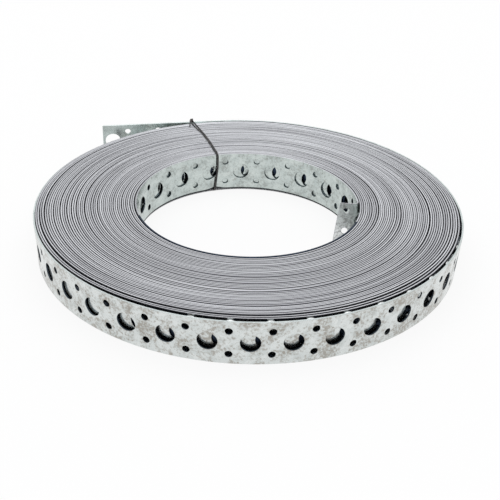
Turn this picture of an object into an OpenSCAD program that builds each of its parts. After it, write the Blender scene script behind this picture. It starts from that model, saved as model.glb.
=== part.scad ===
/* [Strip] */
// Width of the perforated strip
strip_w = 20; // [16:1:30]
// Thickness of the strip
strip_t = 0.8; // [0.6:0.1:1.2]
// Step of the hole pattern along the strip
hole_pitch = 16.5; // [15:0.5:25]
// Diameter of the large holes on the centre line
large_d = 8; // [5:0.5:9]
// Diameter of the small holes half-way between the large ones
small_d = 3; // [2:0.5:4]
// Distance between the two small holes of a pair, across the strip
pair_spread = 10.8; // [9:0.2:12]

/* [Coil] */
// Diameter of the eye in the middle of the coil
bore_d = 102.5; // [80:0.5:140]
// Number of tight turns under the loose outermost one
tight_turns = 48; // [20:1:60]
// Gap between two neighbouring turns
turn_gap = 0.14; // [0.08:0.01:0.3]
// Depth to which the gap between two turns is open at the ends of the coil
turn_groove = 0.6; // [0.2:0.1:1.5]

/* [Loose outermost turn] */
// Mean gap between the outermost turn and the tight ones
loose_gap = 0.7; // [0.3:0.1:1.2]
// Depth to which it is pressed into the tight turns on the side where it lies against them
loose_bite = 0.3; // [0.2:0.05:0.5]
// Direction in which it has sprung open, from the X axis
loose_dir = -55; // [-80:1:-30]
// Distance that it has slipped down along the coil
loose_drop = 0.3; // [0.2:0.1:1]

/* [Outer end] */
// Length of the straight end of the strip, from where it leaves the coil
tail_len = 60.7; // [30:0.1:80]
// Distance from the cut end to the middle of its first large hole
tail_margin = 5; // [4.8:0.1:8]

/* [Inner end] */
// Length of the bent end, from the wall of the eye to its cut edge
tab_len = 10; // [8:0.5:20]
// Inside radius of its bend
tab_bend_r = 1.5; // [1:0.1:3]
// Angle at which the bend starts, from the X axis
tab_angle = -11.4; // [-40:0.1:40]
// Distance from the cut edge to the first pair of small holes
tab_margin = 3.1; // [2.5:0.1:4]

/* [Tie wire] */
// Diameter of the wire
wire_d = 1; // [0.8:0.1:1.4]
// Distance between the middles of its neighbouring turns
wire_pitch = 1.3; // [1.2:0.1:2]
// Angle at which the wire goes round the coil, from the Y axis
wire_angle = 6.8; // [5:0.1:8]
// Length of the twist that closes the wire
twist_len = 2; // [1.6:0.2:5]
// Angle at which the twist stands up, from level
twist_tilt = 60; // [45:5:80]
// Number of turns in the twist
twist_turns = 1; // [1:0.5:3]

/* [Hidden] */
$fn = 96;
// Room left between the wire and the strip
wire_clear = 0.05;
// Depth to which faces that would only touch are sunk into each other
sink = 0.05;
// Length by which a cutter stands out of the metal
over = 1;
turn_pitch = strip_t + turn_gap;
bore_r = bore_d / 2;
tight_r = bore_r + (tight_turns - 1) * turn_pitch + strip_t;
loose_ri = tight_r + loose_gap;
loose_ro = loose_ri + strip_t;
loose_rm = loose_ri + strip_t / 2;
loose_shift = loose_gap + loose_bite;
loose_centre = loose_shift * [cos(loose_dir), sin(loose_dir)];
coil_top = loose_drop + strip_w;
// Length of the outermost turn that lies hidden against the root of the straight end
root_len = sqrt(loose_ro * loose_ro - loose_ri * loose_ri) + large_d;
outer_len = tail_len + 2 * PI * loose_rm - root_len;
// Length of strip in the straight part of the inner end, in its bend and in the turn behind it
tab_flat = tab_len - tab_bend_r;
tab_curl = (tab_bend_r + strip_t / 2) * PI / 2;
inner_rm = bore_r + strip_t / 2;
inner_len = 2 * PI * inner_rm - large_d;
half_pitch = hole_pitch / 2;
wire_r = wire_d / 2;
wire_sides = 8;
bend_steps = 3;
twist_steps = 6;

// One large hole, or one pair of small holes, drilled along Y through a strip that starts at z = 0
module perforation(large, depth) {
    if (large)
        translate([0, 0, strip_w / 2])
            rotate([90, 0, 0])
                cylinder(d = large_d, h = depth, center = true);
    else
        for (side = [-1, 1])
            translate([0, 0, strip_w / 2 + side * pair_spread / 2])
                rotate([90, 0, 0])
                    cylinder(d = small_d, h = depth, center = true);
}

// Section of the tight turns, with the gap between two turns open at both ends
function turn_edges(z, groove_z) = [
    for (k = [0 : tight_turns - 1])
        let (r = bore_r + k * turn_pitch)
            each concat(
                [[r, z], [r + strip_t, z]],
                k < tight_turns - 1 ? [[r + strip_t, groove_z], [r + turn_pitch, groove_z]] : []
            )
];
function reversed(list) = [for (i = [len(list) - 1 : -1 : 0]) list[i]];

module tight_turns_body() {
    rotate_extrude()
        polygon(concat(
            turn_edges(0, turn_groove),
            reversed(turn_edges(strip_w, strip_w - turn_groove))
        ));
}

// Holes of the innermost turn, one thickness deep, counted from the cut edge of the bent end
module inner_holes() {
    first = tab_margin;
    count = floor((tab_flat + tab_curl + inner_len - first) / half_pitch);
    for (i = [0 : count]) {
        along = first + i * half_pitch - tab_flat - tab_curl;
        if (along > -large_d / 2)
            rotate([0, 0, tab_angle - 90 + along / inner_rm * 180 / PI])
                translate([0, bore_r + strip_t / 2 - over / 2, 0])
                    perforation(i % 2 == 1, strip_t + over);
    }
}

// Inner end of the strip, bent into the eye
module inner_tab() {
    rotate([0, 0, tab_angle])
        translate([bore_r + sink, 0, 0])
            difference() {
                union() {
                    translate([-tab_bend_r, 0, 0])
                        rotate([0, 0, -90])
                            rotate_extrude(angle = 90)
                                translate([tab_bend_r, 0])
                                    square([strip_t, strip_w]);
                    translate([-tab_len - sink, -tab_bend_r - strip_t, 0])
                        cube([tab_flat + sink, strip_t, strip_w]);
                }
                translate([tab_margin - tab_len - sink, -tab_bend_r - strip_t / 2, 0])
                    perforation(false, strip_t + over);
                // The large hole that the bend runs through
                translate([tab_margin + half_pitch - tab_len + tab_curl - tab_bend_r, -tab_bend_r, 0])
                    perforation(true, 2 * (tab_bend_r + strip_t) + over);
            }
}

// Outermost turn with its straight end, seen from above
module loose_outline() {
    translate(loose_centre)
        difference() {
            union() {
                circle(r = loose_ro);
                translate([-tail_len, loose_ri - sink])
                    square([tail_len, strip_t]);
            }
            circle(r = loose_ri);
        }
}

// Places its child on the outermost strip, at a length along it from the cut outer end
module on_outer_strip(along) {
    translate(loose_centre)
        if (along < tail_len)
            translate([along - tail_len, loose_rm - sink, 0])
                children();
        else
            rotate([0, 0, -(along - tail_len) / loose_rm * 180 / PI])
                translate([0, loose_rm, 0])
                    children();
}

module loose_turn() {
    count = floor((outer_len - tail_margin) / half_pitch);
    difference() {
        linear_extrude(height = strip_w)
            loose_outline();
        for (i = [0 : count])
            on_outer_strip(tail_margin + i * half_pitch)
                perforation(i % 2 == 0, strip_t + over);
    }
}

// Places its children where the wire goes round: X points out of the coil, Y along its turns
module at_wire() {
    rotate([0, 0, 90 + wire_angle])
        children();
}

// Distance of the straight end's outer face from the axis, measured along the wire
wire_reach = (loose_centre[1] + loose_ro) / cos(wire_angle);

// Shallow path across the underside, where the turns ride on the wire
module wire_seat() {
    seat_w = 2 * wire_pitch + wire_d + 4 * wire_clear;
    at_wire()
        translate([bore_r - over, -seat_w / 2, -over])
            cube([wire_reach - bore_r + 2 * over, seat_w, over + wire_d + 2 * wire_clear]);
}

module strap() {
    color([0.74, 0.76, 0.75])
        difference() {
            union() {
                translate([0, 0, loose_drop]) {
                    difference() {
                        tight_turns_body();
                        inner_holes();
                    }
                    inner_tab();
                }
                loose_turn();
            }
            wire_seat();
        }
}

// Corners of the wire's path round the coil's section, as [out, up], each with the angle its bend starts at
wire_in = bore_r - wire_r - wire_clear;
wire_out = wire_reach + wire_r + wire_clear;
wire_low = wire_r + wire_clear;
wire_high = coil_top + wire_r + wire_clear;
wire_bend = wire_r + wire_clear;
wire_corners = [
    [[wire_in + wire_bend, wire_high - wire_bend], 90],
    [[wire_in + wire_bend, wire_low + wire_bend], 180],
    [[wire_out - wire_bend, wire_low + wire_bend], 270],
    [[wire_out - wire_bend, wire_high - wire_bend], 360]
];

// Two turns round the section that lean sideways by one pitch a turn, without the first corner of the twist
function wire_loop_point(turn, corner, step) =
    let (
        bend = wire_corners[corner],
        angle = bend[1] + 90 * step / bend_steps,
        place = bend[0] + wire_bend * [cos(angle), sin(angle)],
        share = turn + (corner + 1 + (step / bend_steps - 1) / 2) / 4
    )
    [place[0], wire_pitch * (1 - share), place[1]];
wire_loop = [
    for (turn = [0, 1], corner = [0 : 3], step = [0 : bend_steps])
        if (turn == 0 || corner < 3)
            wire_loop_point(turn, corner, step)
];

// One end of the wire in the twist, which points up and outwards from the outer top corner
twist_radius = wire_r + wire_clear;
twist_ahead = [cos(twist_tilt), 0, sin(twist_tilt)];
twist_above = [-sin(twist_tilt), 0, cos(twist_tilt)];
twist_base = [wire_out, 0, wire_high] + (wire_d + wire_clear) * twist_ahead;
function twist_strand(side) = [
    for (i = [0 : twist_steps * twist_turns])
        let (turn = 360 * i / twist_steps)
            twist_base
            + twist_len * i / (twist_steps * twist_turns) * twist_ahead
            + side * twist_radius * (cos(turn) * [0, 1, 0] + sin(turn) * twist_above)
];
wire_path = concat(
    reversed(twist_strand(1)),
    [[wire_out - wire_d, wire_pitch, wire_high]],
    wire_loop,
    [[wire_out, -wire_pitch, wire_high - wire_d]],
    twist_strand(-1)
);

// Round bar carried along a path that keeps roughly to the XZ plane
function unit(v) = v / norm(v);
function heading(path, i) = unit(path[min(i + 1, len(path) - 1)] - path[max(i - 1, 0)]);
function bar_ring(path, i, r) =
    let (
        ahead = heading(path, i),
        aside = unit([0, 1, 0] - ahead[1] * ahead),
        above = cross(ahead, aside)
    )
    [for (j = [0 : wire_sides - 1])
        path[i] + r * (cos(360 * j / wire_sides) * aside + sin(360 * j / wire_sides) * above)];
module bar(path, r) {
    last = len(path) - 1;
    polyhedron(
        points = [for (i = [0 : last]) each bar_ring(path, i, r)],
        faces = concat(
            [[for (j = [0 : wire_sides - 1]) j]],
            [for (i = [0 : last - 1], j = [0 : wire_sides - 1])
                let (k = (j + 1) % wire_sides)
                    [i * wire_sides + j, (i + 1) * wire_sides + j, (i + 1) * wire_sides + k, i * wire_sides + k]],
            [[for (j = [wire_sides - 1 : -1 : 0]) last * wire_sides + j]]
        )
    );
}

module tie_wire() {
    color([0.27, 0.26, 0.25])
        at_wire()
            bar(wire_path, wire_r);
}

strap();
tie_wire();
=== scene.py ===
import logging
import math
from dataclasses import dataclass, field
from enum import Enum, IntEnum
from typing import Any

import bpy
import numpy as np
from mathutils import Matrix


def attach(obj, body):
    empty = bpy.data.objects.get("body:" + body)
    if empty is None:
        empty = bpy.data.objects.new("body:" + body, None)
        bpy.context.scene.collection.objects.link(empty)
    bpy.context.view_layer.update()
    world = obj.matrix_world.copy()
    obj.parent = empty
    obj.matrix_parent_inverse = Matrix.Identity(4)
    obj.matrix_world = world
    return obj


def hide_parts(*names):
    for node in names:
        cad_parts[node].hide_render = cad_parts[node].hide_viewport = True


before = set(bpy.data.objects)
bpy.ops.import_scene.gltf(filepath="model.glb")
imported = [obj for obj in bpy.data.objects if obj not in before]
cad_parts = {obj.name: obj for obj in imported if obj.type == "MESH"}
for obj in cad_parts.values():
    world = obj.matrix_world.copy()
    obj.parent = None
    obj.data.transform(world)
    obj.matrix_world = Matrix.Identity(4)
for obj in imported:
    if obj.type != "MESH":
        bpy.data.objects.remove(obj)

LOG = logging.getLogger("strap_coil")
Array = np.ndarray
MM = 0.001
TURN = 2.0 * math.pi
TIGHT_TURNS = 48
SHARP_ANGLE = math.radians(38)
NOISE_ROUGH = 0.6
WHITE = (1.0, 1.0, 1.0, 1.0)
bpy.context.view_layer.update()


class Skin(IntEnum):
    """Which finish a face of the strip wears."""

    FACE = 0
    EDGE = 1
    # Painted shade: dark blue-grey on faces that lie deep between the turns.
    PAINTED_SHADE = 2
    # Faces that look inwards, in a darker, greener copy of the zinc: painted shade of the eye.
    INNER = 3
    RIM = 4
    BORE = 5
    TAB = 6


class MathOp(Enum):
    """Operations of a Math node that the finishes use."""

    ADD = "ADD"
    SUBTRACT = "SUBTRACT"
    MULTIPLY = "MULTIPLY"
    MINIMUM = "MINIMUM"


class Signal:
    """A number that varies over a surface: wraps one socket, and arithmetic on it adds Math nodes."""

    def __init__(self, board: "NodeBoard", socket: bpy.types.NodeSocket) -> None:
        """Keeps the board that the socket is on."""
        self.board = board
        self.socket = socket

    def _math(self, op: MathOp, first: "Signal | float", second: "Signal | float") -> "Signal":
        """Adds one Math node.

        Args:
            op: The node's operation.
            first: Its first operand.
            second: Its second operand.

        Returns:
            The node's result.
        """
        node = self.board.node("ShaderNodeMath", {"operation": op.value}, {0: first, 1: second})
        return Signal(self.board, node.outputs[0])

    def __add__(self, other: "Signal | float") -> "Signal":
        """Sum."""
        return self._math(MathOp.ADD, self, other)

    __radd__ = __add__

    def __sub__(self, other: "Signal | float") -> "Signal":
        """Difference."""
        return self._math(MathOp.SUBTRACT, self, other)

    def __rsub__(self, other: float) -> "Signal":
        """Difference from a number."""
        return self._math(MathOp.SUBTRACT, other, self)

    def __mul__(self, other: "Signal | float") -> "Signal":
        """Product."""
        return self._math(MathOp.MULTIPLY, self, other)

    __rmul__ = __mul__

    def at_most(self, other: "Signal | float") -> "Signal":
        """The smaller of the two."""
        return self._math(MathOp.MINIMUM, self, other)

    def window(self, low: float, high: float) -> "Signal":
        """A smooth step from 0 at low to 1 at high."""
        node = self.board.node(
            "ShaderNodeMapRange",
            {"interpolation_type": "SMOOTHSTEP", "clamp": True},
            {"Value": self, "From Min": low, "From Max": high},
        )
        return Signal(self.board, node.outputs[0])


class NodeBoard:
    """A node tree and the one method that adds nodes to it."""

    def __init__(self, tree: bpy.types.NodeTree) -> None:
        """Empties the tree."""
        self.tree = tree
        tree.nodes.clear()

    def node(
        self,
        kind: str,
        settings: dict[str, Any] | None = None,
        values: dict[str | int, Any] | None = None,
    ) -> bpy.types.Node:
        """Adds a node, sets its settings, then fills or links its sockets.

        Args:
            kind: Blender's name of the node type.
            settings: Properties of the node.
            values: Socket by name or number, with a number, a tuple, a socket or a Signal.

        Returns:
            The node.
        """
        node = self.tree.nodes.new(kind)
        for key, value in (settings or {}).items():
            setattr(node, key, value)
        for key, value in (values or {}).items():
            socket = node.inputs[key]
            if isinstance(value, Signal):
                self.tree.links.new(value.socket, socket)
            elif isinstance(value, bpy.types.NodeSocket):
                self.tree.links.new(value, socket)
            else:
                socket.default_value = value
        return node

    def noise(self, place: bpy.types.NodeSocket, size: float, detail: float = 2.0) -> Signal:
        """Noise whose lumps are about one size across.

        Args:
            place: The coordinates, in metres.
            size: Size of a lump in metres.
            detail: Number of octaves.

        Returns:
            The noise, about 0.5 on average.
        """
        node = self.node(
            "ShaderNodeTexNoise",
            {"noise_dimensions": "3D"},
            {"Vector": place, "Scale": 1.0 / size, "Detail": detail, "Roughness": NOISE_ROUGH},
        )
        return Signal(self, node.outputs[0])

    def stretch(self, place: bpy.types.NodeSocket, scale: tuple[float, float, float]) -> bpy.types.NodeSocket:
        """Coordinates multiplied by three factors."""
        node = self.node("ShaderNodeVectorMath", {"operation": "MULTIPLY"}, {0: place, 1: scale})
        return node.outputs[0]

    def blend(self, share: Signal, first: Any, second: Any) -> bpy.types.NodeSocket:
        """A colour that goes from first to second as share goes from 0 to 1."""
        node = self.node(
            "ShaderNodeMix", {"data_type": "RGBA", "clamp_factor": True}, {0: share, 6: first, 7: second}
        )
        return node.outputs[2]

    def part(self, vector: bpy.types.NodeSocket, axis: str) -> Signal:
        """One coordinate of a vector."""
        return Signal(self, self.node("ShaderNodeSeparateXYZ", None, {0: vector}).outputs[axis])

    def metal(self, values: dict[str, Any]) -> None:
        """Ends the tree with a metal shader on the surface."""
        shader = self.node("ShaderNodeBsdfPrincipled", None, values)
        self.node("ShaderNodeOutputMaterial", None, {"Surface": shader.outputs[0]})


def rgb(red: float, green: float, blue: float) -> tuple[float, float, float, float]:
    """A colour given in screen values from 0 to 255, as the linear colour that a node takes."""
    screen = (red, green, blue)
    linear = [(v / 255 / 12.92) if v <= 10 else ((v / 255 + 0.055) / 1.055) ** 2.4 for v in screen]
    return (*linear, 1.0)


def new_material(name: str) -> tuple[bpy.types.Material, NodeBoard]:
    """A material with an empty node tree, and the board that fills it."""
    made = bpy.data.materials.new(name)
    made.use_nodes = True
    return made, NodeBoard(made.node_tree)


@dataclass(frozen=True)
class ZincFace:
    """Hot-dip zinc on the flat of the strip: pale spangle with brown-grey storage stains."""

    name: str = "zinc_face"
    pale: tuple = rgb(220, 224, 223)
    cool: tuple = rgb(200, 206, 205)
    stain: tuple = rgb(150, 142, 131)
    dirt: float = 0.8
    # Height of a painted contact shadow along the lower edge, and its colour; none when the height is zero.
    foot_shadow: float = 0.0
    foot_shadow_colour: tuple = rgb(40, 42, 44)
    dull: float = 0.15
    spangle_size: float = 2.2 * MM
    cloud_size: float = 7.0 * MM
    speck_size: float = 1.15 * MM
    pit_size: float = 0.6 * MM
    bump: float = 0.1
    bump_depth: float = 0.1 * MM

    def material(self) -> bpy.types.Material:
        """Makes the material.

        Returns:
            Metal whose colour and roughness follow spangle, clouds and specks, in Object coordinates, with an
            optional painted contact shadow along the lower edge.
        """
        made, board = new_material(self.name)
        place = board.node("ShaderNodeTexCoord").outputs["Object"]
        spangle = board.node(
            "ShaderNodeTexVoronoi", {"feature": "F1"}, {"Vector": place, "Scale": 1.0 / self.spangle_size}
        )
        hues = board.node("ShaderNodeSeparateColor", None, {0: spangle.outputs["Color"]})
        grain = Signal(board, hues.outputs[0])
        cloud = board.noise(place, self.cloud_size)
        speck = board.noise(place, self.speck_size, 3.0)
        zinc = board.blend(grain * 0.6 + cloud.window(0.35, 0.65) * 0.4, self.pale, self.cool)
        dirt = (speck * 0.6 + cloud * 0.4).window(0.46, 0.63)
        pit = board.noise(place, self.pit_size).window(0.56, 0.7) * cloud.window(0.42, 0.6)
        colour = board.blend((dirt * 0.9 + pit * 0.6).at_most(1.0) * self.dirt, zinc, self.stain)
        # Painted shadow: below this height the colour is blended to a dark colour that stands in for the
        # contact shadow at the strip's foot.
        if self.foot_shadow > 0:
            strip = board.node("ShaderNodeAttribute", {"attribute_name": "strip"}).outputs["Vector"]
            across = board.part(strip, "Y")
            colour = board.blend(across.window(self.foot_shadow * 0.7, self.foot_shadow * 1.1), self.foot_shadow_colour, colour)
        rough = self.dull + grain * 0.05 + dirt * 0.14
        bump = board.node(
            "ShaderNodeBump", None, {"Strength": self.bump, "Distance": self.bump_depth, "Height": speck}
        )
        board.metal({"Base Color": colour, "Metallic": 1.0, "Roughness": rough, "Normal": bump.outputs[0]})
        return made


# Painted shade: a darker, greener copy of the zinc for faces that look into the eye, with a painted contact
# shadow along the lower edge.
INNER_SHADED_ZINC = ZincFace(
    name="zinc_inner_shaded",
    pale=rgb(203, 211, 208),
    cool=rgb(184, 194, 192),
    stain=rgb(138, 139, 134),
    dirt=0.5,
    foot_shadow=0.9 * MM,
)
# Painted shade: a dark blue-grey copy of the zinc for faces deep between the turns, seen only through holes
# and gaps.
PAINTED_SHADE_ZINC = ZincFace(
    name="zinc_painted_shade",
    pale=rgb(59, 70, 88),
    cool=rgb(48, 58, 73),
    stain=rgb(40, 46, 56),
    dirt=0.4,
    dull=0.4,
)
BORE_STEEL = ZincFace(
    name="punched_bore",
    pale=rgb(95, 105, 116),
    cool=rgb(73, 83, 94),
    stain=rgb(49, 54, 62),
    dirt=0.4,
    dull=0.35,
)
TAB_ZINC = ZincFace(
    name="zinc_bent_end",
    pale=rgb(236, 239, 239),
    cool=rgb(216, 220, 220),
    stain=rgb(148, 148, 147),
    dull=0.36,
)
RIM_ZINC = ZincFace(
    name="zinc_rim",
    pale=rgb(232, 240, 239),
    cool=rgb(214, 224, 223),
    stain=rgb(158, 162, 158),
    dirt=0.35,
    dull=0.22,
)


@dataclass(frozen=True)
class SlitEdge:
    """Slit edge of the strip: bare grey steel whose tone changes by turns, with painted shade on the roll."""

    name: str = "slit_edge"
    light: tuple = rgb(234, 236, 240)
    dark: tuple = rgb(172, 173, 178)
    # Dark colour that the rolled-over part of the edge is blended to: painted shade.
    gap: tuple = rgb(38, 38, 42)
    tone_length: float = 120.0 * MM
    streak_length: float = 7.0 * MM
    streak_width: float = 0.35 * MM
    roll: tuple[float, float] = (0.07 * MM, 0.24 * MM)

    def material(self) -> bpy.types.Material:
        """Makes the material.

        Returns:
            Metal with tones and streaks that follow the piece's own attribute "strip", and painted shade on
            the roll.
        """
        made, board = new_material(self.name)
        strip = board.node("ShaderNodeAttribute", {"attribute_name": "strip"}).outputs["Vector"]
        out = board.part(strip, "Z")
        drawn = board.stretch(strip, (self.streak_width / self.streak_length, 1.0, 1.0))
        streak = board.noise(drawn, self.streak_width, 3.0)
        tone = board.noise(board.stretch(strip, (1.0, 0.0, 0.0)), self.tone_length)
        steel = board.blend(tone.window(0.36, 0.64) * 0.65 + streak * 0.3, self.light, self.dark)
        # Painted shade: the rolled-over part of the edge is blended towards the dark colour, standing in for
        # the shade of the gap between turns.
        roll_shade = out.window(*self.roll)
        colour = board.blend(roll_shade * 0.92, steel, self.gap)
        board.metal({"Base Color": colour, "Metallic": 1.0, "Roughness": 0.32 + streak * 0.2})
        return made


@dataclass(frozen=True)
class AnnealedWire:
    """Black annealed wire: dull scale with worn brown-grey patches."""

    name: str = "annealed_wire"
    scale: tuple = rgb(70, 70, 71)
    worn: tuple = rgb(116, 112, 107)
    patch_size: float = 1.6 * MM

    def material(self) -> bpy.types.Material:
        """Makes the material.

        Returns:
            A half metallic dull finish in Object coordinates.
        """
        made, board = new_material(self.name)
        place = board.node("ShaderNodeTexCoord").outputs["Object"]
        patch = board.noise(place, self.patch_size, 3.0)
        colour = board.blend(patch.window(0.45, 0.68), self.scale, self.worn)
        board.metal({"Base Color": colour, "Metallic": 0.7, "Roughness": 0.42 + patch * 0.2})
        return made


@dataclass(frozen=True)
class StudioFloor:
    """Pale seamless floor that stays white to the eye and in the metal, and keeps the shadow."""

    name: str = "studio_floor"
    shade: tuple = (0.93, 0.93, 0.93, 1.0)
    glow: float = 0.85
    cover: tuple[float, float] = (51.4 * MM, 96.4 * MM)
    cover_fade: tuple[float, float] = (0.5 * MM, 0.6 * MM)
    open_floor: tuple[float, float] = (0.3, 1.2)

    def material(self) -> bpy.types.Material:
        """Makes the material.

        Returns:
            Diffuse white, mixed with a plain white for camera, glossy and transmission rays outside the ring
            that the coil covers.
        """
        made, board = new_material(self.name)
        path = board.node("ShaderNodeLightPath").outputs
        seen = Signal(board, path["Is Camera Ray"]) + Signal(board, path["Is Glossy Ray"])
        seen = (seen + Signal(board, path["Is Transmission Ray"])).at_most(1.0)
        place = board.node("ShaderNodeTexCoord").outputs["Object"]
        radius = Signal(
            board, board.node("ShaderNodeVectorMath", {"operation": "LENGTH"}, {0: place}).outputs["Value"]
        )
        inner, outer = self.cover
        fade_in, fade_out = self.cover_fade
        covered = radius.window(inner, inner + fade_in) * (1.0 - radius.window(outer, outer + fade_out))
        glow = self.glow + radius.window(*self.open_floor) * (1.0 - self.glow)
        diffuse = board.node("ShaderNodeBsdfDiffuse", None, {"Color": self.shade})
        white = board.node("ShaderNodeEmission", None, {"Color": WHITE, "Strength": 1.0})
        mixed = board.node(
            "ShaderNodeMixShader",
            None,
            {0: seen * (1.0 - covered) * glow, 1: diffuse.outputs[0], 2: white.outputs[0]},
        )
        board.node("ShaderNodeOutputMaterial", None, {"Surface": mixed.outputs[0]})
        return made


@dataclass
class Mesh:
    """Points, quads and the finish of each quad, ready to become a piece."""

    points: Array
    quads: Array
    skins: Array
    strip: Array | None = None

    def piece(self, name: str, node: str, slot: str, finishes: list[bpy.types.Material]) -> bpy.types.Object:
        """Puts the arrays into a Blender mesh that rides on the part and stands for a CAD node.

        Args:
            name: Name of the piece.
            node: The CAD node that it stands for.
            slot: The record's material slot. Not used.
            finishes: Materials by Skin.

        Returns:
            The object, at the origin.
        """
        data = bpy.data.meshes.new(name)
        count = len(self.quads)
        data.vertices.add(len(self.points))
        data.vertices.foreach_set("co", (self.points * MM).astype(np.float32).ravel())
        data.loops.add(count * 4)
        data.loops.foreach_set("vertex_index", self.quads.astype(np.int32).ravel())
        data.polygons.add(count)
        data.polygons.foreach_set("loop_start", np.arange(0, count * 4, 4, dtype=np.int32))
        data.polygons.foreach_set("material_index", self.skins.astype(np.int32))
        data.polygons.foreach_set("use_smooth", np.ones(count, dtype=bool))
        data.update(calc_edges=True)
        data.validate()
        data.set_sharp_from_angle(angle=SHARP_ANGLE)
        if self.strip is not None:
            layer = data.attributes.new("strip", "FLOAT_VECTOR", "POINT")
            layer.data.foreach_set("vector", (self.strip * MM).astype(np.float32).ravel())
        for finish in finishes:
            data.materials.append(finish)
        made = bpy.data.objects.new(name, data)
        bpy.context.scene.collection.objects.link(made)
        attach(made, "root")
        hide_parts(node)
        LOG.info("%s: %d points, %d quads", name, len(self.points), count)
        return made


@dataclass
class Wander:
    """Smooth seeded wandering along the winding: values at even knots, joined by cosine steps."""

    seed: int
    knot: float
    reach: float
    shape: float = 1.0
    values: Array = field(init=False)

    def __post_init__(self) -> None:
        """Draws the knot values, from 0 to 1, raised to the shape's power."""
        count = int(self.reach / self.knot) + 3
        self.values = np.random.default_rng(self.seed).random(count) ** self.shape

    def __call__(self, phi: Array) -> Array:
        """The value at each angle.

        Args:
            phi: Angles along the winding.

        Returns:
            Values from 0 to 1.
        """
        place = np.clip(phi / self.knot, 0, len(self.values) - 1.001)
        low = place.astype(int)
        share = 0.5 - 0.5 * np.cos((place - low) * math.pi)
        return self.values[low] * (1 - share) + self.values[low + 1] * share


def tube_quads(rings: int, sides: int) -> Array:
    """Quads between neighbouring rings of points, with every ring closed.

    Args:
        rings: Number of rings.
        sides: Number of points in a ring.

    Returns:
        Numbers of the points, by ring, side and corner.
    """
    start = (np.arange(rings - 1) * sides)[:, None]
    i = start + np.arange(sides)
    j = start + (np.arange(sides) + 1) % sides
    return np.stack([i, i + sides, j + sides, j], -1)


def smooth(place: Array, low: float, high: float) -> Array:
    """A smooth step from 0 at low to 1 at high, flat at both ends."""
    share = np.clip((place - low) / (high - low), 0, 1)
    return share * share * (3 - 2 * share)


@dataclass
class Gauge:
    """Sizes of the strip and of its punched pattern, in millimetres."""

    width: float = 20.0
    thick: float = 0.8
    pitch: float = 16.5
    large_d: float = 8.0
    small_d: float = 3.0
    spread: float = 10.8
    bevel: float = 0.12
    large_cell: float = 10.5


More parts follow.
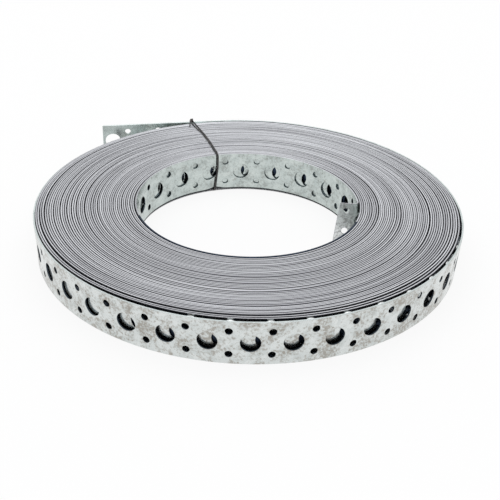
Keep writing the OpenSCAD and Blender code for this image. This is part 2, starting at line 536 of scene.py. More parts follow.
@dataclass
class Winding:
    """The line that the strip follows: straight outer end, loose outermost turn, tight turns, bent inner end.

    Angles run clockwise from +Y, from where the straight end leaves the coil. Lengths are in millimetres.
    """

    gauge: Gauge = field(default_factory=Gauge)
    loose_centre: tuple[float, float] = (0.574, -0.819)
    loose_r: float = 97.33
    tail_r: float = 96.46
    tail_len: float = 60.98
    flare: float = 0.6
    flare_at: float = math.radians(175.5)
    tight_r: float = 95.58
    inner_r: float = 51.65
    last: float = TIGHT_TURNS * TURN + math.radians(101.4)
    tab_bend_r: float = 1.9
    tab_rise: float = 0.55
    lift: float = 0.6
    tail_lift: tuple[float, float] = (0.8, 1.3)
    clearance: tuple[tuple[float, float], ...] = (
        (0.0, 0.08), (20.0, 0.05), (93.0, 0.05), (112.0, 0.8), (140.0, 1.0), (170.0, 1.2), (190.0, 1.4),
        (215.0, 1.05), (226.0, 0.7), (234.0, 0.42), (243.0, 0.28), (262.0, 0.14), (280.0, 0.06),
        (360.0, 0.06),
    )
    fall_at: float = math.radians(265)
    gap_least: float = 0.045
    gap_swing: float = 0.6
    room_ends: tuple[float, float] = (0.3, 5.9)
    second_gap: float = 0.85
    second_opens: tuple[float, float] = (2.2, 2.7)
    second_shuts: tuple[float, float] = (4.15, 4.95)
    shared_gaps: int = 14
    settle: float = 0.08
    settle_at: tuple[float, float] = (0.75 * TURN, 1.1 * TURN)
    flare_fade: tuple[float, float] = (2 * TURN, 20 * TURN)
    eye_gap: float = 0.3
    eye_opens: tuple[float, float] = (1.95, 2.7)
    eye_follows: tuple[float, float] = (3.8, 4.5)
    eye_shuts: tuple[float, float] = (5.0, 5.9)
    wire_at: float = math.radians(-6.8)
    seat_rise: float = 1.25
    seat_width: float = 3.0
    root_fall: float = 2.6
    lift_from: tuple[float, float] = (0.8 * TURN, 1.5 * TURN)
    lift_end: float = 1.5
    edge_wander: float = 0.26
    samples: int = 240
    gaps: Wander = field(init=False)
    heights: Wander = field(init=False)
    phi_table: Array = field(init=False)
    r_table: Array = field(init=False)
    len_table: Array = field(init=False)

    def __post_init__(self) -> None:
        """Works out the table of radius against angle.

        The first turn is the loose circle. Every later turn lies one thickness and one gap inside the one
        before it at the same angle, and the gaps wander with the angle. The turn under the loose one stands
        out towards it as far as the clearance, given by degrees, allows. The room behind it is shared out
        among the next gaps, most of it to one gap on the front. Gaps near the eye are opened a little on one
        side.
        """
        thick = self.gauge.thick
        self.gaps = Wander(seed=11, knot=math.radians(105), reach=self.last + TURN, shape=2.7)
        self.heights = Wander(seed=5, knot=math.radians(64), reach=self.last + TURN)
        turns = int(math.ceil(self.last / TURN))
        psi = np.linspace(0.0, TURN, self.samples + 1)
        total = np.arange(1, turns + 1)[:, None] * TURN + psi[None, :]
        raw = self.gap_least + self.gap_swing * self.gaps(total)
        share = (self.last - TURN - psi) / TURN
        inside = np.clip(share[None, :] - np.arange(turns)[:, None] + 1, 0, 1)
        wanted = (self.tight_r - self.inner_r) / ((self.last - TURN) / TURN) - thick
        scale = wanted * inside.sum(0) / (raw * inside).sum(0)
        scale = scale - (scale[-1] - scale[0]) * psi / TURN
        gap = raw * scale[None, :]
        eye = 1 - smooth(psi, *self.eye_shuts)
        gap[turns - 3] += self.eye_gap * smooth(psi, *self.eye_opens) * eye
        gap[[turns - 5, turns - 7]] += 0.5 * self.eye_gap * smooth(psi, *self.eye_follows) * eye
        loose = self.loose_r + self.loose_centre[0] * np.sin(psi) + self.loose_centre[1] * np.cos(psi)
        ends = np.stack([loose[0] - self.tail_r, loose[-1] - self.tight_r])
        fall = smooth(psi, self.fall_at, TURN)
        loose = loose - ends[0] * (1 - fall) - ends[1] * fall
        first = self.tight_r - (thick + gap[1, 0]) * psi / TURN
        clear = self.clearance_at(psi)
        opened, closing = self.room_ends
        room = np.maximum(loose - thick - first - clear, 0)
        room = room * smooth(psi, 0.0, opened) * (1 - smooth(psi, closing, TURN))
        line = self.second_gap * smooth(psi, *self.second_opens) * (1 - smooth(psi, *self.second_shuts))
        gap[2] += line
        gap[3:3 + self.shared_gaps] += (room - line)[None, :] / self.shared_gaps
        tight = (first + room)[None, :] - np.pad(np.cumsum(thick + gap[1:], axis=0), ((1, 0), (0, 0)))
        self.phi_table = np.concatenate([psi[:-1], total[:, :-1].ravel()])
        self.r_table = np.concatenate([loose[:-1], tight[:, :-1].ravel()])
        step = np.diff(self.phi_table) * (self.r_table[1:] + self.r_table[:-1]) / 2
        self.len_table = np.concatenate([[0.0], np.cumsum(step)])

    def clearance_at(self, phi: Array) -> Array:
        """Gap wanted under the loose turn at each angle."""
        return np.interp(np.degrees(phi), *np.array(self.clearance).T)

    def radius(self, phi: Array) -> Array:
        """Radius of the strip's middle at each angle, at its upper edge."""
        return np.interp(phi, self.phi_table, self.r_table)

    def length_at(self, phi: float) -> float:
        """Length of strip from the root of the straight end to an angle."""
        return float(np.interp(phi, self.phi_table, self.len_table))

    def angle_at(self, length: Array) -> Array:
        """The angle at each length of strip from the root of the straight end."""
        return np.interp(length, self.len_table, self.phi_table)

    def seat(self, phi: Array, radius: Array) -> Array:
        """How far the lower edge is raised where the tie wire passes under it.

        A bell across the wire's line: exp of minus the square of the sideways distance over its width.

        Args:
            phi: Angles along the winding.
            radius: Radius at each angle.

        Returns:
            The rise in millimetres.
        """
        aside = (phi - self.wire_at + math.pi) % TURN - math.pi
        return self.seat_rise * np.exp(-((aside * radius / self.seat_width) ** 2))

    def height(self, phi: Array) -> Array:
        """Height of the lower edge.

        It falls from the straight end's root to the floor in the first turn. The turns inside it wander a
        little, and lie on a slope that rises towards the tie wire under the coil.

        Args:
            phi: Angles along the winding.

        Returns:
            Heights in millimetres.
        """
        root = self.tail_lift[0] * (1 - smooth(phi, 0.0, self.root_fall))
        rise = smooth(phi, *self.lift_from) * (1 - smooth(phi, self.last - self.lift_end, self.last))
        slope = self.lift * (0.5 + 0.5 * np.cos(phi) * self.radius(phi) / self.tight_r)
        return root + rise * (slope + self.edge_wander * self.heights(phi))

    def turn_point(self, phi: Array, across: Array, out: Array) -> Array:
        """Points on the turns.

        The radius is the table's radius plus the place through the thickness, less the flare, which leans the
        outer turns in towards their lower edge: the flare times one plus the cosine of the angle from the
        widest place. It is a little more under the loose turn, and fades away over twenty turns.

        Args:
            phi: Angles along the winding.
            across: Places across the strip, from its lower edge.
            out: Places through the thickness, outwards from its middle.

        Returns:
            Points in millimetres.
        """
        width = self.gauge.width
        fade_from, fade_span = self.flare_fade
        fade = 1 - np.clip((phi - fade_from) / fade_span, 0, 1)
        flare = self.flare + self.settle * smooth(phi, *self.settle_at)
        lean = flare * (1 + np.cos(phi - self.flare_at)) * fade
        radius = self.radius(phi) + out - lean * (1 - across / width)
        z = self.height(phi) + across + self.seat(phi, radius) * (1 - across / width)
        return np.stack([radius * np.sin(phi), radius * np.cos(phi), z], axis=-1)

    def outer_point(self, length: Array, across: Array, out: Array) -> Array:
        """Points on the outer end and the turns after it.

        Args:
            length: Lengths from the cut outer end.
            across: Places across the strip.
            out: Places through the thickness.

        Returns:
            Points in millimetres: a straight line along X, rising a little from the root, and the turns.
        """
        run = length - self.tail_len
        phi = self.angle_at(np.maximum(run, 0.0))
        turned = self.turn_point(phi, across, out)
        root, end = self.tail_lift
        level = across + root - (end - root) * run / self.tail_len
        straight = np.stack([run, self.tail_r + out, level], axis=-1)
        return np.where((run < 0)[:, None], straight, turned)

    def inner_point(self, length: Array, across: Array, out: Array, tab_len: float) -> Array:
        """Points on the bent inner end and the turns outside it.

        Args:
            length: Lengths from the cut inner end.
            across: Places across the strip.
            out: Places through the thickness.
            tab_len: Length of the flat part of the bent end.

        Returns:
            Points in millimetres: a straight line that rises to its end, a quarter bend, then the turns.
        """
        bend_r = self.tab_bend_r
        curl = bend_r * math.pi / 2
        behind = length - tab_len - curl
        phi = self.angle_at(self.length_at(self.last) - np.maximum(behind, 0.0))
        turned = self.turn_point(phi, across, out)
        radial = np.array([math.sin(self.last), math.cos(self.last), 0.0])
        ahead = np.array([math.cos(self.last), -math.sin(self.last), 0.0])
        root = float(self.radius(np.array([self.last]))[0])
        beta = np.clip(-behind / bend_r, 0, math.pi / 2)
        past = np.maximum(tab_len - length, 0.0)
        normal = np.cos(beta)[:, None] * radial + np.sin(beta)[:, None] * ahead
        place = (root - bend_r) * radial + (bend_r + out)[:, None] * normal - past[:, None] * radial
        z = self.height(np.array([self.last])) + across + self.tab_rise * past / tab_len
        bent = place + np.stack([np.zeros_like(z), np.zeros_like(z), z], axis=-1)
        return np.where((behind < 0)[:, None], bent, turned)


@dataclass
class PunchedStrip:
    """Strip with every hole cut through it, laid out flat as a solid of (along, across, out), then bent."""

    gauge: Gauge
    side_steps: int = 10
    large_steps: int = 6
    small_steps: int = 4
    band: float = 0.4
    weld: float = 1e-4

    def _cell(
        self,
        along: tuple[float, float],
        across: tuple[float, float],
        hole: tuple[float, float, float],
        steps: tuple[int, int],
    ) -> tuple[Array, Array, Array]:
        """A plate between a hole's circle and a rectangle, with both faces and the hole's wall.

        Each ring of points goes evenly from the circle, at the hole's wall, to the rectangle's border: first
        the wall, then the bevel, then two bands of the face.

        Args:
            along: Ends of the rectangle along the strip.
            across: Ends of the rectangle across it.
            hole: The hole's middle along and across, and its radius.
            steps: Steps of the border along and across.

        Returns:
            Points, quads and skins.
        """
        g = self.gauge
        n_s, n_h = steps
        s = np.linspace(*along, n_s + 1)
        h = np.linspace(*across, n_h + 1)
        low = np.stack([s[:-1], np.full(n_s, h[0])], -1)
        right = np.stack([np.full(n_h, s[-1]), h[:-1]], -1)
        high = np.stack([s[:0:-1], np.full(n_s, h[-1])], -1)
        left = np.stack([np.full(n_h, s[0]), h[:0:-1]], -1)
        border = np.concatenate([low, right, high, left])
        count = len(border)
        angle = -math.pi / 2 + (np.arange(count) - n_s / 2) * TURN / count
        circle = np.stack([np.cos(angle), np.sin(angle)], -1)
        middle = np.array(hole[:2])
        wall = middle + hole[2] * circle
        lip = middle + (hole[2] + g.bevel) * circle
        half = lip + self.band * (border - lip)
        flat = np.stack([wall, lip, half, border])
        depth = np.array([g.thick / 2 - g.bevel, g.thick / 2, g.thick / 2, g.thick / 2])
        depth = np.broadcast_to(depth[:, None], flat.shape[:2])
        upper = np.concatenate([flat, depth[..., None]], -1)
        lower = np.concatenate([flat, -depth[..., None]], -1)
        points = np.concatenate([upper, lower]).reshape(-1, 3)
        i = np.arange(count)
        j = (i + 1) % count
        ring = np.arange(3)[:, None] * count
        face = np.stack([ring + i, ring + count + i, ring + count + j, ring + j], -1).reshape(-1, 4)
        back = face[:, ::-1] + 4 * count
        tube = np.stack([i, j, j + 4 * count, i + 4 * count], -1)
        quads = np.concatenate([face, back, tube])
        skins = np.full(len(quads), int(Skin.FACE))
        skins[2 * len(face):] = int(Skin.BORE)
        return points, quads, skins

    def _edges(self, along: Array) -> tuple[Array, Array, Array]:
        """The two bevelled edges of the strip, as a profile of four points carried along it.

        Args:
            along: Places along the strip where the faces have points.

        Returns:
            Points, quads and skins.
        """
        g = self.gauge
        half = g.thick / 2
        rise = np.array([g.bevel, 0.0, 0.0, g.bevel])
        out = np.array([half, half - g.bevel, g.bevel - half, -half])
        count = len(along)
        low = np.stack(np.broadcast_arrays(along[:, None], rise[None, :], out[None, :]), -1)
        high = np.stack(np.broadcast_arrays(along[:, None], g.width - rise[None, :], out[None, :]), -1)
        points = np.concatenate([low, high]).reshape(-1, 3)
        i = (np.arange(count - 1)[:, None] * 4 + np.arange(3)[None, :]).ravel()
        under = np.stack([i, i + 1, i + 5, i + 4], -1)
        over = under[:, ::-1] + count * 4
        quads = np.concatenate([under, over])
        return points, quads, np.full(len(quads), int(Skin.EDGE))

    def _cap(self, along: float, start: bool) -> tuple[Array, Array, Array]:
        """The cut end of the strip.

        Args:
            along: Place of the cut.
            start: True at the strip's start, where the cut looks back along it.

        Returns:
            Points, quads and skins.
        """
        g = self.gauge
        half = g.thick / 2
        h = np.linspace(g.bevel, g.width - g.bevel, self.side_steps + 1)
        count = len(h)
        edge_h = np.array([0.0, 0.0, g.width, g.width])
        edge_n = np.array([half - g.bevel, g.bevel - half, half - g.bevel, g.bevel - half])
        across = np.concatenate([h, h, edge_h])
        out = np.concatenate([np.full(count, half), np.full(count, -half), edge_n])
        points = np.stack([np.full(len(across), along), across, out], -1)
        i = np.arange(count - 1)
        quads = np.stack([i, i + 1, i + 1 + count, i + count], -1)
        low = 2 * count
        ends = np.array([[0, count, low + 1, low], [2 * count - 1, count - 1, low + 2, low + 3]])
        quads = np.concatenate([quads, ends])
        quads = quads if start else quads[:, ::-1]
        return points, quads, np.full(len(quads), int(Skin.EDGE))

    def flat(self, cells: int, large_first: bool) -> Mesh:
        """The flat strip, welded into one closed solid.

        Args:
            cells: Number of cells, large and small by turns.
            large_first: True if the first cell holds a large hole.

        Returns:
            Points as (along, across, out), with along from 0 at the start.
        """
        g = self.gauge
        b, middle = g.bevel, g.width / 2
        small_cell = g.pitch - g.large_cell
        sizes = [g.large_cell, small_cell] if large_first else [small_cell, g.large_cell]
        starts = {large_first: 0.0, not large_first: sizes[0]}
        large_s, small_s = starts[True], starts[False]
        n_l, n_s, n_h = self.large_steps, self.small_steps, self.side_steps
        large = self._cell(
            (large_s, large_s + g.large_cell),
            (b, g.width - b),
            (large_s + g.large_cell / 2, middle, g.large_d / 2),
            (n_l, n_h),
        )
        pair = [
            self._cell(
                (small_s, small_s + small_cell),
                ends,
                (small_s + small_cell / 2, middle + side * g.spread / 2, g.small_d / 2),
                (n_s, n_h // 2),
            )
            for side, ends in ((-1, (b, middle)), (1, (middle, g.width - b)))
        ]
        spans = {True: (large_s, g.large_cell, n_l), False: (small_s, small_cell, n_s)}
        kinds = {}
        for kind, parts in ((True, [large]), (False, pair)):
            start, size, steps = spans[kind]
            kinds[kind] = [*parts, self._edges(np.linspace(start, start + size, steps + 1))]
        points, quads, skins = [], [], []
        total = 0
        for kind, parts in kinds.items():
            first = 0 if kind == large_first else 1
            repeat = len(range(first, cells, 2))
            shift = np.arange(repeat) * g.pitch
            for p, q, k in parts:
                tiled = p[None] + np.stack([shift, 0 * shift, 0 * shift], -1)[:, None]
                points.append(tiled.reshape(-1, 3))
                quads.append((q[None] + (np.arange(repeat) * len(p))[:, None, None]).reshape(-1, 4) + total)
                skins.append(np.tile(k, repeat))
                total += repeat * len(p)
        end = (cells // 2) * g.pitch + (sizes[0] if cells % 2 else 0.0)
        for p, q, k in (self._cap(0.0, True), self._cap(end, False)):
            points.append(p)
            quads.append(q + total)
            skins.append(k)
            total += len(p)
        every = np.concatenate(points)
        keys = np.round(every / self.weld).astype(np.int64)
        _, where, back = np.unique(keys, axis=0, return_index=True, return_inverse=True)
        welded = back.reshape(-1)[np.concatenate(quads)]
        return Mesh(every[where], welded, np.concatenate(skins), every[where])


@dataclass
class StrapCoil:
    """The coiled strap.

    The outer turns with the straight end and the inner turns with the bent end are punched, and the turns
    between them are plain. Places along the strip are in millimetres from its cut end.
    """

    gauge: Gauge
    winding: Winding
    outer_cells: int = 225
    inner_cells: int = 119
    tab_flat: float = 8.7
    tab_slant: float = 2.1
    tail_off: float = 1.2
    tab_off: float = 1.3
    tail_fade: tuple[float, float] = (60.0, 160.0)
    tab_fade: tuple[float, float] = (6.0, 14.0)
    tab_margin: float = 1.4
    tab_bend: float = 4.0
    under_at: tuple[float, float] = (22.25, 1.6)
    under_pitches: int = 36
    under_shift: float = -6.3
    front_y: float = 20.0
    skin_depth: float = 0.48
    rim_depth: float = 0.2
    rim_end: float = 680.0
    tail_end: float = 60.0
    # Place along the outer piece past which its faces are painted dark as shade.
    third_turn: float = 1290.0
    # Stretch of the inner piece whose inner faces, behind the bent end, are painted dark as shade.
    shade_behind_tab: tuple[float, float] = (348.0, 366.0)
    # Stretch of the inner piece whose top edge is painted dark as shade.
    shaded_rim: tuple[float, float] = (190.0, 318.0)
    meet_at: float = math.radians(8.17)
    meet_shifts: tuple[float, float, float] = (0.0, -4.15, 2.3)
    segments: int = 216
    lump_at: tuple[float, float, int] = (math.radians(204.2), math.radians(-8.81), 10)
    lump_len: float = 3.1
    lump_reach: float = 0.97
    lump_hold: float = 0.15
    lump_low: float = 0.5
    lump_half: float = 0.42
    plain_bevel: float = 0.6
    plain_roll: float = 2.0
    pale_depth: float = 2.5
    crowding: tuple[float, float] = (0.045, 3.0)
    outer_end: float = field(init=False, default=0.0)
    inner_start: float = field(init=False, default=0.0)

    def outer(self, finishes: list[bpy.types.Material]) -> bpy.types.Object:
        """The straight end, the loose turn and two turns under it, counted from the cut outer end.

        The pattern is moved a little along the strip, so that its holes and those of the turn under it meet
        as they do on the real coil, and off centre on the straight end.

        Args:
            finishes: Materials by Skin.

        Returns:
            The piece.
        """
        mesh = PunchedStrip(self.gauge).flat(self.outer_cells, True)
        along, across, out = mesh.strip.T
        winding, pitch = self.winding, self.gauge.pitch
        holes, more = self.under_at
        ahead = holes * pitch + more - winding.tail_len
        once_round = float(winding.angle_at(np.array([ahead]))[0]) + TURN
        second = winding.length_at(once_round) - ahead - self.under_pitches * pitch + self.under_shift
        stops = np.array([0.0, 60.0, 300.0, 349.0, 405.0, 428.0, 446.0, 560.0, 900.0, 4000.0])
        offsets = np.array([0.0, 0.6, 1.55, 1.7, 1.4, 1.35, 2.9, 2.9, more + second, more + second])
        true = along + np.interp(along, stops, offsets)
        self.outer_end = float(winding.angle_at(np.array([true.max() - winding.tail_len]))[0])
        share = across / self.gauge.width
        off_centre = self.tail_off * 4 * share * (1 - share) * (1 - smooth(true, *self.tail_fade))
        mesh.points = winding.outer_point(true, across + off_centre, out)
        mesh.quads = mesh.quads[:, ::-1]
        place, high, side = mesh.strip[mesh.quads].mean(1).T
        face = mesh.skins == Skin.FACE
        front = mesh.points[mesh.quads, 1].mean(1) < self.front_y
        # Painted shade: inward faces on the front and every face from the third turn on wear the dark skin;
        # inward faces elsewhere wear the darker inner copy.
        inside = face & (side < -self.skin_depth * self.gauge.thick)
        deep_shade = face & ~inside & (place > self.third_turn)
        mesh.skins = np.where(inside, np.where(front, int(Skin.PAINTED_SHADE), int(Skin.INNER)), mesh.skins)
        mesh.skins = np.where(deep_shade, int(Skin.PAINTED_SHADE), mesh.skins)
        tail = (inside | (mesh.skins == Skin.BORE)) & (place < self.tail_end)
        mesh.skins = np.where(tail, int(Skin.RIM), mesh.skins)
        upper = (mesh.skins == Skin.EDGE) & (high > self.gauge.width - self.rim_depth)
        mesh.skins = np.where(upper & (place < self.rim_end), int(Skin.RIM), mesh.skins)
        return mesh.piece("strap_outer", "strap", "zinc_strip", finishes)

    def inner(self, finishes: list[bpy.types.Material]) -> bpy.types.Object:
        """The bent end and three turns outside it, counted from the cut inner end.

        The pattern is stretched a little by straight pieces of a line, so that the holes of neighbouring
        turns meet as they do on the real coil, and is off centre on the bent end. The cut end is aslant: it
        is shortened in proportion to the place across the strip.

        Args:
            finishes: Materials by Skin.

        Returns:
            The piece.
        """
        winding = self.winding
        mesh = PunchedStrip(self.gauge).flat(self.inner_cells, False)
        along, across, out = mesh.strip.T
        whole = winding.length_at(winding.last)
        curl = winding.tab_bend_r * math.pi / 2
        meet = TIGHT_TURNS * TURN + self.meet_at
        behind = [
            whole - winding.length_at(meet - k * TURN) + self.tab_flat + curl + shift
            for k, shift in enumerate(self.meet_shifts)
        ]
        first = np.array([[93.75, 0.0], [126.75, 33.0], [143.25, 50.5], [159.75, 67.5], [193.75, 101.5]])
        second = np.array([
            [357.75, -63.43], [374.25, -49.6], [423.75, 0.0], [456.75, 33.0], [473.25, 50.1], [489.75, 66.0],
            [523.75, 100.0],
        ])
        third = np.array([[687.75, -70.41], [704.25, -51.36], [753.75, 0.0], [853.75, 100.0]])
        near, move = np.concatenate([first, second, third]).T
        far = np.repeat(behind, [len(first), len(second), len(third)]) + move
        stops = np.concatenate([[0.0, self.tab_margin, 3.0, 11.25], near])
        lengths = np.concatenate([[0.0, 3.4, 5.0, 13.25], far])
        true = np.interp(along, stops, lengths) + np.maximum(along - stops[-1], 0.0)
        cut = np.clip(1 - along / self.tab_margin, 0, 1)
        true = true + self.tab_slant * across / self.gauge.width * cut
        start = whole - (float(true.max()) - self.tab_flat - curl)
        self.inner_start = float(winding.angle_at(np.array([start]))[0])
        share = across / self.gauge.width
        off_centre = self.tab_off * 4 * share * (1 - share) * (1 - smooth(along, *self.tab_fade))
        mesh.points = winding.inner_point(true, across + off_centre, out, self.tab_flat)
        place, high, side = mesh.strip[mesh.quads].mean(1).T
        bend_end = self.tab_flat + self.tab_bend
        # Painted shade: outward faces past the bend, which lie against the next turn, wear the dark skin.
        outside = (side > self.skin_depth * self.gauge.thick) & (place > bend_end)
        face = np.where(outside, int(Skin.PAINTED_SHADE), int(Skin.INNER))
        tab = (mesh.skins == Skin.BORE) & (place < self.tab_flat)
        mesh.skins = np.where((mesh.skins == Skin.FACE) | tab, face, mesh.skins)
        # Painted shade: the inner faces behind the bent end wear the dark skin.
        low, high_end = self.shade_behind_tab
        deep_shade = (mesh.skins == Skin.INNER) & (side < 0) & (place > low) & (place < high_end)
        mesh.skins = np.where(deep_shade, int(Skin.PAINTED_SHADE), mesh.skins)
        # Painted shade: the top edge over this stretch wears the dark skin.
        low, high_end = self.shaded_rim
        upper = (mesh.skins == Skin.EDGE) & (high > self.gauge.width - self.rim_depth)
        mesh.skins = np.where(upper & (place > low) & (place < high_end), int(Skin.PAINTED_SHADE), mesh.skins)
        bent = (mesh.skins == Skin.INNER) & (side > 0) & (place < bend_end)
        mesh.skins = np.where(bent, int(Skin.TAB), mesh.skins)
        return mesh.piece("strap_inner", "strap", "zinc_strip", finishes)

    def lumps(self, finishes: list[bpy.types.Material]) -> bpy.types.Object:
        """Lumps of zinc that bridge the gap behind the loose turn's rim, evenly spaced along it.

        Each is an eight-sided section carried along the turn. The section spans the gap, lies just under the
        rim, and shrinks towards both ends as the root of one minus the square of the place along the lump.
        It is held by the loose turn and stops just short of the next.

        Args:
            finishes: Materials by Skin.

        Returns:
            The piece.
        """
        first, step, count = self.lump_at
        rings, sides = 7, 8
        place = np.linspace(-self.lump_reach, self.lump_reach, rings)
        turn = np.arange(sides) * TURN / sides
        grid = np.broadcast_arrays(np.arange(count)[:, None, None], place[None, :, None], turn[None, None, :])
        index, along, spin = (a.ravel() for a in grid)
        size = np.sqrt(1 - along**2)
        middle = first + step * index
        gap = self.winding.clearance_at(middle)
        out = gap / 2 * np.cos(spin) * size - gap / 2 + self.lump_hold - self.gauge.thick / 2
        across = self.gauge.width - self.lump_low + self.lump_half * np.sin(spin) * size
        phi = middle + along * self.lump_len / 2 / self.winding.loose_r
        points = self.winding.turn_point(phi, across, out)
        tube = tube_quads(rings, sides).reshape(-1, 4)
        cap = np.array([[0, 1, 2, 7], [7, 2, 3, 6], [6, 3, 4, 5]])
        one = np.concatenate([tube, cap, cap[:, ::-1] + (rings - 1) * sides])
        quads = (one[None] + (np.arange(count) * rings * sides)[:, None, None]).reshape(-1, 4)
        mesh = Mesh(points, quads, np.full(len(quads), int(Skin.TAB)))
        return mesh.piece("strap_rim_lumps", "strap", "zinc_strip", finishes)

    def plain(
        self, name: str, first: float, last: float, finishes: list[bpy.types.Material]
    ) -> bpy.types.Object:
        """Turns whose faces are hidden and painted dark as shade: a section of ten points carried along the
        winding.

        The slit edges are rolled over on their outer side and nearly sharp on their inner side, where the
        face is pale for a little way down; below that, and on the whole outer face, the face is painted dark
        as shade. The sections stand closer together where the wire passes.

        Args:
            name: Name of the piece.
            first: Angle at which it starts.
            last: Angle at which it ends.
            finishes: Materials by Skin.

        Returns:
            The piece.
        """
        g = self.gauge
        half, b, roll = g.thick / 2, self.plain_bevel * g.bevel, self.plain_roll * g.bevel
        top, shade = g.width, g.width - self.pale_depth
        across = np.array([roll, 0.0, 0.0, b, shade, top - b, top, top, top - roll, shade])
        out = np.array([half, half - roll, b - half, -half, -half, -half, b - half, half - roll, half, half])
        sides = len(across)
        count = int((last - first) / TURN * self.segments) + 2
        even = np.linspace(first, last, count)
        aside = even - self.winding.wire_at
        pull, focus = self.crowding
        phi = even - pull * np.sin(aside) * np.exp(-focus * (1 - np.cos(aside)))
        phi[[0, -1]] = first, last
        grid = np.broadcast_arrays(phi[:, None], across[None, :], out[None, :])
        points = self.winding.turn_point(*[a.ravel() for a in grid])
        strip = np.stack([self.winding.radius(grid[0]) * grid[0], grid[1], grid[2]], -1).reshape(-1, 3)
        quads = tube_quads(count, sides)
        edge, shaded, inner = int(Skin.EDGE), int(Skin.PAINTED_SHADE), int(Skin.INNER)
        # Painted shade: the outer face and the lower inner face wear the dark skin; the top of the inner face
        # wears the darker inner copy.
        round_section = np.array([edge, edge, edge, shaded, inner, edge, edge, edge, shaded, shaded])
        skins = np.broadcast_to(round_section, quads.shape[:2])
        cap = np.array([[0, 1, 2, 3], [0, 3, 4, 9], [9, 4, 5, 8], [8, 5, 6, 7]])
        caps = np.concatenate([cap, cap[:, ::-1] + (count - 1) * sides])
        mesh = Mesh(
            points,
            np.concatenate([quads.reshape(-1, 4), caps]),
            np.concatenate([skins.ravel(), np.full(len(caps), edge)]),
            strip,
        )
        return mesh.piece(name, "strap", "zinc_strip", finishes)

    def build(self) -> list[bpy.types.Object]:
        """Makes the finishes and builds every piece of the strap.

        Returns:
            The pieces.
        """
        made = [ZincFace(), SlitEdge(), PAINTED_SHADE_ZINC, INNER_SHADED_ZINC, RIM_ZINC, BORE_STEEL, TAB_ZINC]
        finishes = [finish.material() for finish in made]
        outer = self.outer(finishes)
        inner = self.inner(finishes)
        half = (self.outer_end + self.inner_start) / 2
        return [
            outer,
            self.plain("strap_turns_outer", self.outer_end, half, finishes),
            self.plain("strap_turns_inner", half, self.inner_start, finishes),
            inner,
            self.lumps(finishes),
        ]


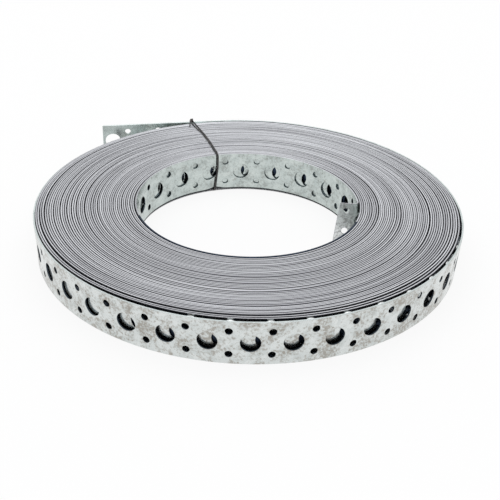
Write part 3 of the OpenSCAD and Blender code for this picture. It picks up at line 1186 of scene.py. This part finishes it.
@dataclass
class TieWire:
    """Soft wire that goes twice round the coil's section and is twisted shut at the outer top edge.

    Its path is given as (outwards, along the turns, up), in millimetres, in a frame turned about the coil's
    axis.
    """

    diameter: float = 0.6
    angle: float = math.radians(96.8)
    inner: float = 50.55
    outer: float = 98.0
    low: float = 0.5
    high: float = 21.0
    sides: int = 10
    steps: int = 1100
    twist_turns: float = 1.5
    twist_rise: float = 1.5
    twist_r: float = 0.5
    twist_steps: int = 17

    def _loop(self, start: float, split: float, aside: float, ahead: float) -> Array:
        """One turn of the wire round the section: in over the top, down the eye, out under the coil and up.

        The line bows a little along the turns on its way over the top and down the eye.

        Args:
            start: Height at which it leaves the knot.
            split: How far it stands beside the other turn near the knot.
            aside: How far it lies beside the line's middle elsewhere.
            ahead: How far it stands off the wall of the eye.

        Returns:
            Points that the wire passes through.
        """
        i, o, lo, hi = self.inner, self.outer, self.low, self.high
        e, near = i - ahead, aside * 0.4
        return np.array([
            [o - 1.0, split * 0.8, start], [o - 3.5, split - 0.3, hi + 0.2], [o - 8, split - 0.65, hi],
            [o - 14, (split + aside) / 2 - 1.0, hi], [o - 21, aside - 1.35, hi], [o - 30, aside - 1.4, hi],
            [i + 8, aside - 1.1, hi], [i + 1.8, aside - 0.9, hi + 0.05], [e + 0.5, near - 0.85, hi - 0.25],
            [e, near - 0.9, hi - 1.3], [e, near - 0.9, 15.5], [e + 0.05, near - 0.3, 8.5],
            [e + 0.1, near + 0.4, 2.0], [i + 0.4, near + 0.5, 0.95], [i + 1.4, aside + 0.5, lo],
            [i + 12, aside + 0.5, lo], [o - 12, aside + 0.2, lo], [o - 1.4, aside, lo],
            [o - 0.35, aside, 0.95], [o, aside, 2.2], [o, aside, 10.0], [o, aside * 0.8, hi - 2.0],
        ])

    def _path(self) -> Array:
        """Points that the wire passes through, from one cut end to the other.

        The knot is two lines that turn round a leaning axis, half a turn apart.

        Returns:
            Points in the wire's own frame.
        """
        o, hi = self.outer, self.high
        turn = np.linspace(0, self.twist_turns * TURN, self.twist_steps)
        rise = np.linspace(0.0, self.twist_rise, self.twist_steps)
        axis = np.stack([o - 0.75 + 0.75 * rise, 0 * rise, hi + 0.25 + 0.5 * rise], -1)
        spin = self.twist_r * np.stack([-0.8 * np.sin(turn), np.cos(turn), 0.6 * np.sin(turn)], -1)
        stray = np.array([[o - 0.6, 0.9, hi + 0.95], [o - 3.4, 1.9, hi + 0.7], [o - 7.2, 3.0, hi + 0.2]])
        first = self._loop(self.high + 0.35, 1.15, 0.31, 0.0)
        second = self._loop(self.high + 0.3, -0.3, -0.31, 0.5)
        return np.concatenate([stray[::-1], (axis + spin)[::-1], first, second, axis - spin])

    def _smooth(self, path: Array) -> Array:
        """A path through the points: each coordinate is a cubic that never goes past its two points.

        The slope at a point is the harmonic mean of the two chords' slopes, or level where they differ in
        sign.

        Args:
            path: Points to pass through.

        Returns:
            Points close together.
        """
        length = np.linalg.norm(np.diff(path, axis=0), axis=1)
        knots = np.concatenate([[0.0], np.cumsum(length)])
        chord = np.diff(path, axis=0) / length[:, None]
        before, after = chord[:-1], chord[1:]
        alike = before * after > 0
        mean = 2 * before * after / np.where(alike, before + after, 1.0)
        slope = np.concatenate([chord[:1], np.where(alike, mean, 0.0), chord[-1:]])
        t = np.linspace(0, knots[-1], self.steps)
        k = np.clip(np.searchsorted(knots, t, side="right") - 1, 0, len(knots) - 2)
        span = (knots[k + 1] - knots[k])[:, None]
        u = (t[:, None] - knots[k][:, None]) / span
        a = (2 * u**3 - 3 * u**2 + 1) * path[k] + (u**3 - 2 * u**2 + u) * span * slope[k]
        return a + (3 * u**2 - 2 * u**3) * path[k + 1] + (u**3 - u**2) * span * slope[k + 1]

    def build(self, finish: bpy.types.Material) -> bpy.types.Object:
        """A circle carried along the path, square to it, and closed at both cut ends.

        Args:
            finish: The wire's material.

        Returns:
            The piece.
        """
        path = self._smooth(self._path())
        ahead = np.gradient(path, axis=0)
        ahead /= np.linalg.norm(ahead, axis=1, keepdims=True)
        aside = np.array([0.0, 1.0, 0.0]) - ahead[:, 1:2] * ahead
        aside /= np.linalg.norm(aside, axis=1, keepdims=True)
        above = np.cross(ahead, aside)
        angle = np.arange(self.sides) * TURN / self.sides
        ring = np.cos(angle)[None, :, None] * aside[:, None] + np.sin(angle)[None, :, None] * above[:, None]
        local = (path[:, None] + self.diameter / 2 * ring).reshape(-1, 3)
        c, s = math.cos(self.angle), math.sin(self.angle)
        x, y, z = local.T
        points = np.stack([c * x - s * y, s * x + c * y, z], -1)
        n = self.sides
        tube = tube_quads(self.steps, n)[..., [0, 3, 2, 1]].reshape(-1, 4)
        fan = np.arange(n // 2 - 1)
        cap = np.stack([fan, n - 1 - fan, n - 2 - fan, fan + 1], -1)
        quads = np.concatenate([tube, cap, cap[:, ::-1] + (self.steps - 1) * n])
        mesh = Mesh(points, quads, np.zeros(len(quads)))
        return mesh.piece("tie_wire_dressed", "tie_wire", "annealed_wire", [finish])


@dataclass
class Studio:
    """Floor, light and camera."""

    camera_at: tuple[float, float, float] = (-76.3, -344.1, 199.87)
    azimuth: float = math.radians(12.5)
    elevation: float = math.radians(29.553)
    roll: float = math.radians(1.77)
    lens: float = 61.26
    shift: tuple[float, float] = (0.0077, -0.0259)
    sensor: float = 36.0
    clip: tuple[float, float] = (0.01, 50.0)
    floor_size: float = 6.0
    sky_top: tuple = (0.57, 0.57, 0.58, 1.0)
    sky_side: tuple = (0.25, 0.25, 0.26, 1.0)
    side_share: float = 0.3
    lamp_size: float = 2.4
    lamp_power: float = 13.0
    lamp_at: tuple[float, float, float] = (0.0, 0.2, 1.3)

    def floor(self) -> None:
        """A wide level floor under the coil."""
        half = self.floor_size / 2
        data = bpy.data.meshes.new("floor")
        corners = [(-half, -half, 0), (half, -half, 0), (half, half, 0), (-half, half, 0)]
        data.from_pydata(corners, [], [(0, 1, 2, 3)])
        data.materials.append(StudioFloor().material())
        made = bpy.data.objects.new("floor", data)
        bpy.context.scene.collection.objects.link(made)

    def light(self) -> None:
        """White surroundings, greyer overhead and to the sides, and one wide soft lamp from above."""
        scene = bpy.context.scene
        scene.view_settings.view_transform = "Standard"
        scene.world = scene.world or bpy.data.worlds.new("studio")
        scene.world.use_nodes = True
        board = NodeBoard(scene.world.node_tree)
        path = board.node("ShaderNodeLightPath").outputs
        seen = Signal(board, path["Is Camera Ray"])
        aim = board.node("ShaderNodeTexCoord").outputs["Generated"]
        up = board.part(aim, "Z")
        right = (math.cos(self.azimuth), -math.sin(self.azimuth), 0.0)
        turned = board.node("ShaderNodeVectorMath", {"operation": "DOT_PRODUCT"}, {0: aim, 1: right})
        aside = Signal(board, turned.outputs["Value"])
        sky = board.blend(up.window(0.2, 0.85), WHITE, self.sky_top)
        sky = board.blend((aside * aside).window(0.02, 0.5) * self.side_share, sky, self.sky_side)
        shade = board.node("ShaderNodeBackground", None, {"Color": sky, "Strength": 1.0})
        white = board.node("ShaderNodeBackground", None, {"Color": WHITE, "Strength": 1.0})
        mixed = board.node("ShaderNodeMixShader", None, {0: seen, 1: shade.outputs[0], 2: white.outputs[0]})
        board.node("ShaderNodeOutputWorld", None, {"Surface": mixed.outputs[0]})
        lamp = bpy.data.lights.new("soft_lamp", "AREA")
        lamp.shape = "DISK"
        lamp.size = self.lamp_size
        lamp.energy = self.lamp_power
        made = bpy.data.objects.new("soft_lamp", lamp)
        made.location = self.lamp_at
        scene.collection.objects.link(made)

    def camera(self) -> None:
        """The camera at the photograph's viewing angle, with its slight roll."""
        a, e, r = self.azimuth, self.elevation, self.roll
        right = np.array([math.cos(a), -math.sin(a), 0.0])
        ahead = np.array([math.sin(a) * math.cos(e), math.cos(a) * math.cos(e), -math.sin(e)])
        up = np.cross(right, ahead)
        x = math.cos(r) * right + math.sin(r) * up
        y = -math.sin(r) * right + math.cos(r) * up
        data = bpy.data.cameras.new("camera")
        data.lens = self.lens
        data.sensor_width = self.sensor
        data.shift_x, data.shift_y = self.shift
        data.clip_start, data.clip_end = self.clip
        made = bpy.data.objects.new("camera", data)
        bpy.context.scene.collection.objects.link(made)
        turn = Matrix((x, y, -ahead)).transposed().to_4x4()
        made.matrix_world = Matrix.Translation([v * MM for v in self.camera_at]) @ turn
        bpy.context.scene.camera = made

    def build(self) -> None:
        """Sets up floor, light and camera."""
        self.floor()
        self.light()
        self.camera()


def main() -> None:
    """Builds the coil, its tie wire and the studio."""
    logging.basicConfig(level=logging.INFO, format="%(message)s")
    gauge = Gauge()
    pieces = StrapCoil(gauge, Winding(gauge)).build()
    pieces.append(TieWire().build(AnnealedWire().material()))
    Studio().build()
    LOG.info("%d pieces", len(pieces))


if __name__ == "__main__":
    main()
